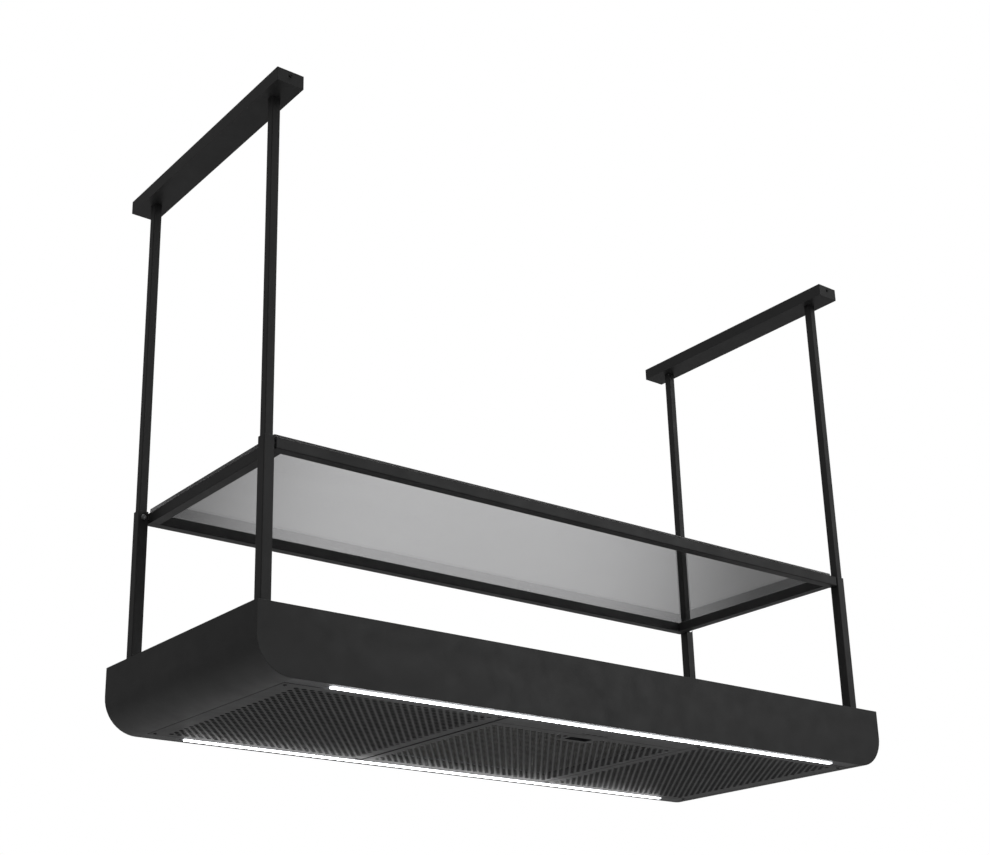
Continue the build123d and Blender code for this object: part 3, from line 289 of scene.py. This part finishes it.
def circuit(name):
    """White solder mask of a light strip board."""
    shader = Shader(name, (0.82, 0.84, 0.82), 0.38)
    tone = shader.blend(shader.spread(shader.noise(90.0), 0.0, 1.0), (0.78, 0.80, 0.77), (0.85, 0.87, 0.85))
    gloss = shader.spread(shader.noise(300.0), 0.3, 0.5)
    return shader.finish_with(tone, gloss, shader.bump(shader.noise(900.0), 0.02 * MM))


BLACK = (0.021, 0.021, 0.0212)
MATERIALS = {
    "black_coat": powder_coat("black_coat", BLACK, 0.42),
    "black_panel": powder_coat(
        "black_panel", scaled(BLACK, 1.1), 0.44, grain=1900.0, edge=0.35 * MM, wear=2.2),
    "black_anodised": anodised("black_anodised", (0.05, 0.05, 0.052), 0.36),
    "zinc_steel": galvanised("zinc_steel", (0.55, 0.56, 0.57)),
    "steel_screw": plated("steel_screw", (0.62, 0.63, 0.64), 0.24),
    "black_screw": plated("black_screw", (0.035, 0.035, 0.036), 0.38),
    "smoked_glass": smoked_glass("smoked_glass", (0.52, 0.52, 0.525)),
    "opal_lens": lit_lens("opal_lens", 9.0),
    "circuit": circuit("circuit"),
    "rubber": moulded("rubber", (0.035, 0.035, 0.035), 0.7, grain=500.0, depth=0.04 * MM, specular=0.3),
    "clear_silicone": silicone("clear_silicone"),
    "nylon": moulded("nylon", (0.07, 0.07, 0.07), 0.48),
    "black_plastic": moulded("black_plastic", (0.02, 0.02, 0.022), 0.4),
    "filter_mesh": mesh_metal("filter_mesh"),
    "carbon": carbon("carbon"),
    "magnet": plated("magnet", (0.55, 0.54, 0.52), 0.2),
    "key_print": moulded("key_print", (0.55, 0.56, 0.57), 0.5),
}

for row in frame["record"]["subparts"]:
    part = frame["nodes"][row["node"]]
    if not part.material_slots:
        part.data.materials.append(None)
    for material_slot in part.material_slots:
        material_slot.link = "OBJECT"
        material_slot.material = MATERIALS[row["material_slot"]]


# ---------------------------------------------------------------- pieces made here
def add_piece(name, mesh_builder, body, material):
    """A new mesh piece, built by a function that fills a bmesh, riding on a CAD body."""
    mesh = bpy.data.meshes.new(name)
    build = bmesh.new()
    mesh_builder(build)
    bmesh.ops.recalc_face_normals(build, faces=build.faces)
    build.to_mesh(mesh)
    build.free()
    mesh.materials.append(MATERIALS[material])
    piece = bpy.data.objects.new(name, mesh)
    bpy.context.scene.collection.objects.link(piece)
    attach(piece, body)
    return piece


def skin(build, rings):
    """Joins rings of four corners into one closed strip."""
    for a, b in zip(rings, rings[1:]):
        for j in range(4):
            build.faces.new((a[j], a[(j + 1) % 4], b[(j + 1) % 4], b[j]))
    build.faces.new(rings[0])
    build.faces.new(rings[-1])


def ribbon(build, points, width, thickness):
    """A flat closed strip of even width along points that share one height."""
    rings = []
    for i, point in enumerate(points):
        ahead = points[min(i + 1, len(points) - 1)] - points[max(i - 1, 0)]
        side = Vector((-ahead.y, ahead.x, 0)).normalized() * width / 2
        down = Vector((0, 0, thickness))
        rings.append([build.verts.new(p) for p in
                      (point + side, point - side, point - side - down, point + side - down)])
    skin(build, rings)


CASSETTE_GAP = 3 * MM
CASSETTE_FRAME = 8 * MM
MESH_PITCH_X = 11 * MM
MESH_PITCH_Y = 6 * MM
MESH_SWING = 0.42        # of the pitch, from a strand's middle line to its crests
STRAND = 1.4 * MM
MESH_LAYERS = (1.2 * MM, 2.4 * MM)      # heights of the mesh layers above the cassettes' lower faces


def expanded_mesh(build):
    """Two layers of expanded metal in the lower recess of each grease cassette."""
    low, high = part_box("grease_filters")
    middle = (low.x + high.x) / 2
    for x0, x1 in ((low.x, middle - CASSETTE_GAP), (middle + CASSETTE_GAP, high.x)):
        inner_x = (x0 + CASSETTE_FRAME, x1 - CASSETTE_FRAME)
        inner_y = (low.y + CASSETTE_FRAME, high.y - CASSETTE_FRAME)
        steps = int((inner_x[1] - inner_x[0]) / (MESH_PITCH_X / 2))
        rows = int((inner_y[1] - inner_y[0] - MESH_PITCH_Y) / MESH_PITCH_Y)
        for layer, height in enumerate(MESH_LAYERS):
            for row in range(rows):
                base = inner_y[0] + (row + 0.5 + layer / 3) * MESH_PITCH_Y
                points = []
                for i in range(steps + 1):
                    swing = (1 if (i + row) % 2 else -1) * MESH_PITCH_Y * MESH_SWING
                    x = inner_x[0] + i * (inner_x[1] - inner_x[0]) / steps
                    points.append(Vector((x, base + swing, low.z + height)))
                ribbon(build, points, STRAND, STRAND / 4)


add_piece("grease_mesh", expanded_mesh, BODY["grease_filters"], "filter_mesh")

CARBON_FRAME = 10 * MM
CARBON_SPLIT = (-284 * MM, 325.5 * MM)   # inner ends of the two carbon cassettes
PLEAT = 11 * MM
PLEAT_DEPTH = 3.4 * MM
PLEAT_FLEECE = 0.5 * MM
PLEAT_LIFT = 0.1 * MM    # above the cassettes' lower faces


def carbon_pleats(build):
    """Zigzag fleece in the lower recess of each carbon cassette."""
    low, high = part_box("carbon_filters")
    for x0, x1 in ((low.x, CARBON_SPLIT[0]), (CARBON_SPLIT[1], high.x)):
        start = x0 + CARBON_FRAME
        length = x1 - x0 - 2 * CARBON_FRAME
        folds = 2 * int(length / PLEAT)
        y0, y1 = low.y + CARBON_FRAME, high.y - CARBON_FRAME
        rings = []
        for i in range(folds + 1):
            x = start + i * length / folds
            z = low.z + PLEAT_LIFT + (PLEAT_DEPTH if i % 2 else 0.0)
            corners = ((x, y0, z), (x, y1, z), (x, y1, z + PLEAT_FLEECE), (x, y0, z + PLEAT_FLEECE))
            rings.append([build.verts.new(c) for c in corners])
        skin(build, rings)


add_piece("carbon_pleats", carbon_pleats, BODY["carbon_filters"], "carbon")

MARK_THICKNESS = 0.05 * MM
MARK_SINK = 0.005 * MM   # how deep a mark sits in its key
MARK_LINE = 0.35 * MM
MARK_RADIUS = 1.2 * MM


def prism(build, outline, inner, z):
    """A thin closed plate below z. With inner, it is a ring between two outlines."""
    def loop(points, height):
        return [build.verts.new((x, y, height)) for x, y in points]
    top, low = loop(outline, z), loop(outline, z - MARK_THICKNESS)
    count = len(outline)
    for i in range(count):
        build.faces.new((top[i], top[(i + 1) % count], low[(i + 1) % count], low[i]))
    if not inner:
        build.faces.new(top)
        build.faces.new(low)
        return
    hole_top, hole_low = loop(inner, z), loop(inner, z - MARK_THICKNESS)
    for i in range(count):
        j = (i + 1) % count
        build.faces.new((hole_top[i], hole_top[j], hole_low[j], hole_low[i]))
        build.faces.new((top[i], top[j], hole_top[j], hole_top[i]))
        build.faces.new((low[i], low[j], hole_low[j], hole_low[i]))


def circle(x, y, radius, count=32):
    turns = [2 * math.pi * i / count for i in range(count)]
    return [(x + radius * math.cos(a), y + radius * math.sin(a)) for a in turns]


def bar(x, y, half_x, half_y):
    return [(x + sx * half_x, y + sy * half_y) for sx, sy in ((-1, -1), (1, -1), (1, 1), (-1, 1))]


def key_mark(number):
    """Generic sign on a key: ring, bar, cross or dot in a ring."""
    low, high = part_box(f"button_{number}")
    x, y = (low.x + high.x) / 2, (low.y + high.y) / 2
    z = low.z + MARK_SINK
    ring = (circle(x, y, MARK_RADIUS), circle(x, y, MARK_RADIUS - MARK_LINE))
    half = MARK_LINE / 2

    def build_mark(build):
        if number in (1, 4):
            prism(build, *ring, z)
        if number == 2:
            prism(build, bar(x, y, MARK_RADIUS, half), None, z)
        if number == 3:
            prism(build, bar(x, y, MARK_RADIUS, half), None, z)
            for side in (-1, 1):
                middle = y + side * (MARK_RADIUS + half) / 2
                prism(build, bar(x, middle, half, (MARK_RADIUS - half) / 2), None, z)
        if number == 4:
            prism(build, circle(x, y, MARK_LINE), None, z)
    return build_mark


for number in range(1, 5):
    add_piece(f"key_mark_{number}", key_mark(number), BODY[f"button_{number}"], "key_print")

# ---------------------------------------------------------------- floor
FLOOR_RADIUS = 9.0
FLOOR_SIDES = 96


def make_floor():
    """Pale floor far under the hood. From below it can be seen through."""
    mesh = bpy.data.meshes.new("floor")
    build = bmesh.new()
    rim = [build.verts.new((FLOOR_RADIUS * math.cos(a), FLOOR_RADIUS * math.sin(a), FLOOR_Z))
           for a in (2 * math.pi * i / FLOOR_SIDES for i in range(FLOOR_SIDES))]
    build.faces.new(rim)
    build.to_mesh(mesh)
    build.free()
    shader = Shader("floor", (0.86, 0.86, 0.86), 0.6, specular=0.2)
    tone = shader.blend(shader.spread(shader.noise(1.5), 0.0, 1.0), (0.85, 0.85, 0.85), (0.88, 0.88, 0.88))
    shader.finish_with(tone, shader.spread(shader.noise(8.0), 0.55, 0.7))
    clear = shader.node("ShaderNodeBsdfTransparent")
    either = shader.node("ShaderNodeMixShader")
    shader.join(shader.node("ShaderNodeNewGeometry").outputs["Backfacing"], either.inputs["Fac"])
    shader.join(shader.surface.outputs["BSDF"], either.inputs[1])
    shader.join(clear.outputs["BSDF"], either.inputs[2])
    shader.join(either.outputs["Shader"], shader.tree.nodes["Material Output"].inputs["Surface"])
    mesh.materials.append(shader.material)
    floor = bpy.data.objects.new("floor", mesh)
    bpy.context.scene.collection.objects.link(floor)


make_floor()

# ---------------------------------------------------------------- light
AROUND = 0.18            # even light from all sides
BACKDROP = 1.0           # what the camera sees behind the hood
# Soft glows in the surroundings: heading clockwise from +Y, elevation, half width, strength
GLOWS = (
    (37.5, 18.0, 11.2, 0.82),
    (139.0, 18.0, 16.0, 2.6),
    (-60.0, 10.0, 40.0, 0.12),
    (230.0, 15.0, 35.0, 0.2),
)
TOP_LIGHT_HEIGHT = 4.5
TOP_LIGHT_SIZE = 5.0
TOP_LIGHT_POWER = 190.0


def toward(heading, elevation):
    h, e = math.radians(heading), math.radians(elevation)
    return Vector((math.sin(h) * math.cos(e), math.cos(h) * math.cos(e), math.sin(e)))


def make_surroundings():
    """White backdrop for the camera, and dimmer surroundings with soft glows as the light."""
    world = bpy.data.worlds.new("studio")
    bpy.context.scene.world = world
    world.use_nodes = True
    nodes, links = world.node_tree.nodes, world.node_tree.links
    direction = nodes.new("ShaderNodeTexCoord").outputs["Generated"]
    total = None
    for heading, elevation, half_width, strength in GLOWS:
        dot = nodes.new("ShaderNodeVectorMath")
        dot.operation = "DOT_PRODUCT"
        links.new(direction, dot.inputs[0])
        dot.inputs[1].default_value = toward(heading, elevation)
        fall = nodes.new("ShaderNodeMapRange")
        fall.interpolation_type = "SMOOTHSTEP"
        fall.inputs["From Min"].default_value = math.cos(math.radians(half_width))
        fall.inputs["From Max"].default_value = 1.0
        fall.inputs["To Max"].default_value = strength
        links.new(dot.outputs["Value"], fall.inputs["Value"])
        add = nodes.new("ShaderNodeMath")
        add.inputs[0].default_value = AROUND
        if total:
            links.new(total, add.inputs[0])
        links.new(fall.outputs["Result"], add.inputs[1])
        total = add.outputs["Value"]
    light = nodes["Background"]
    light.inputs["Color"].default_value = (1.0, 1.0, 1.0, 1.0)
    links.new(total, light.inputs["Strength"])
    backdrop = nodes.new("ShaderNodeBackground")
    backdrop.inputs["Color"].default_value = (1.0, 1.0, 1.0, 1.0)
    backdrop.inputs["Strength"].default_value = BACKDROP
    either = nodes.new("ShaderNodeMixShader")
    links.new(nodes.new("ShaderNodeLightPath").outputs["Is Camera Ray"], either.inputs["Fac"])
    links.new(light.outputs["Background"], either.inputs[1])
    links.new(backdrop.outputs["Background"], either.inputs[2])
    links.new(either.outputs["Shader"], nodes["World Output"].inputs["Surface"])


def make_top_light():
    """Large soft light over the hood, which also lights the floor."""
    lamp = bpy.data.lights.new("top_light", "AREA")
    lamp.shape = "DISK"
    lamp.size = TOP_LIGHT_SIZE
    lamp.energy = TOP_LIGHT_POWER
    holder = bpy.data.objects.new("top_light", lamp)
    holder.location = (0.0, 0.0, TOP_LIGHT_HEIGHT)
    holder.visible_camera = False
    bpy.context.scene.collection.objects.link(holder)


STRIP_GLOW_WIDTH = 18 * MM
STRIP_GLOW_DROP = 18 * MM        # below the lens
STRIP_GLOW_POWER = 0.45


def make_strip_glow(face):
    """Soft spill of a lit lens on to the surfaces beside it. It moves with the hood."""
    node = f"led_diffuser_{face}"
    low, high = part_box(node)
    lamp = bpy.data.lights.new(f"spill_{face}", "AREA")
    lamp.shape = "RECTANGLE"
    lamp.size = high.x - low.x
    lamp.size_y = STRIP_GLOW_WIDTH
    lamp.energy = STRIP_GLOW_POWER
    holder = bpy.data.objects.new(f"spill_{face}", lamp)
    holder.location = ((low.x + high.x) / 2, (low.y + high.y) / 2, low.z - STRIP_GLOW_DROP)
    holder.rotation_euler = (math.pi, 0.0, 0.0)
    holder.visible_camera = False
    bpy.context.scene.collection.objects.link(holder)
    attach(holder, BODY[node])


make_surroundings()
make_top_light()
for face in ("front", "back"):
    make_strip_glow(face)

# ---------------------------------------------------------------- camera
CAMERA_PLACE = (-2.3683, -2.8611, -2.0462)
CAMERA_HEADING = 36.710      # clockwise from +Y
CAMERA_PITCH = 19.453
CAMERA_ROLL = -0.809
CAMERA_LENS = 58.40
CAMERA_SHIFT = (0.06, 0.09)


def make_camera():
    lens = bpy.data.cameras.new("camera")
    lens.lens = CAMERA_LENS
    lens.shift_x, lens.shift_y = CAMERA_SHIFT
    camera = bpy.data.objects.new("camera", lens)
    camera.location = CAMERA_PLACE
    look = Euler((math.radians(90 + CAMERA_PITCH), 0.0, math.radians(-CAMERA_HEADING))).to_matrix()
    roll = Euler((0.0, 0.0, math.radians(CAMERA_ROLL))).to_matrix()
    camera.rotation_euler = (look @ roll).to_euler()
    bpy.context.scene.collection.objects.link(camera)
    bpy.context.scene.camera = camera


make_camera()
bpy.context.scene.view_settings.view_transform = "Standard"
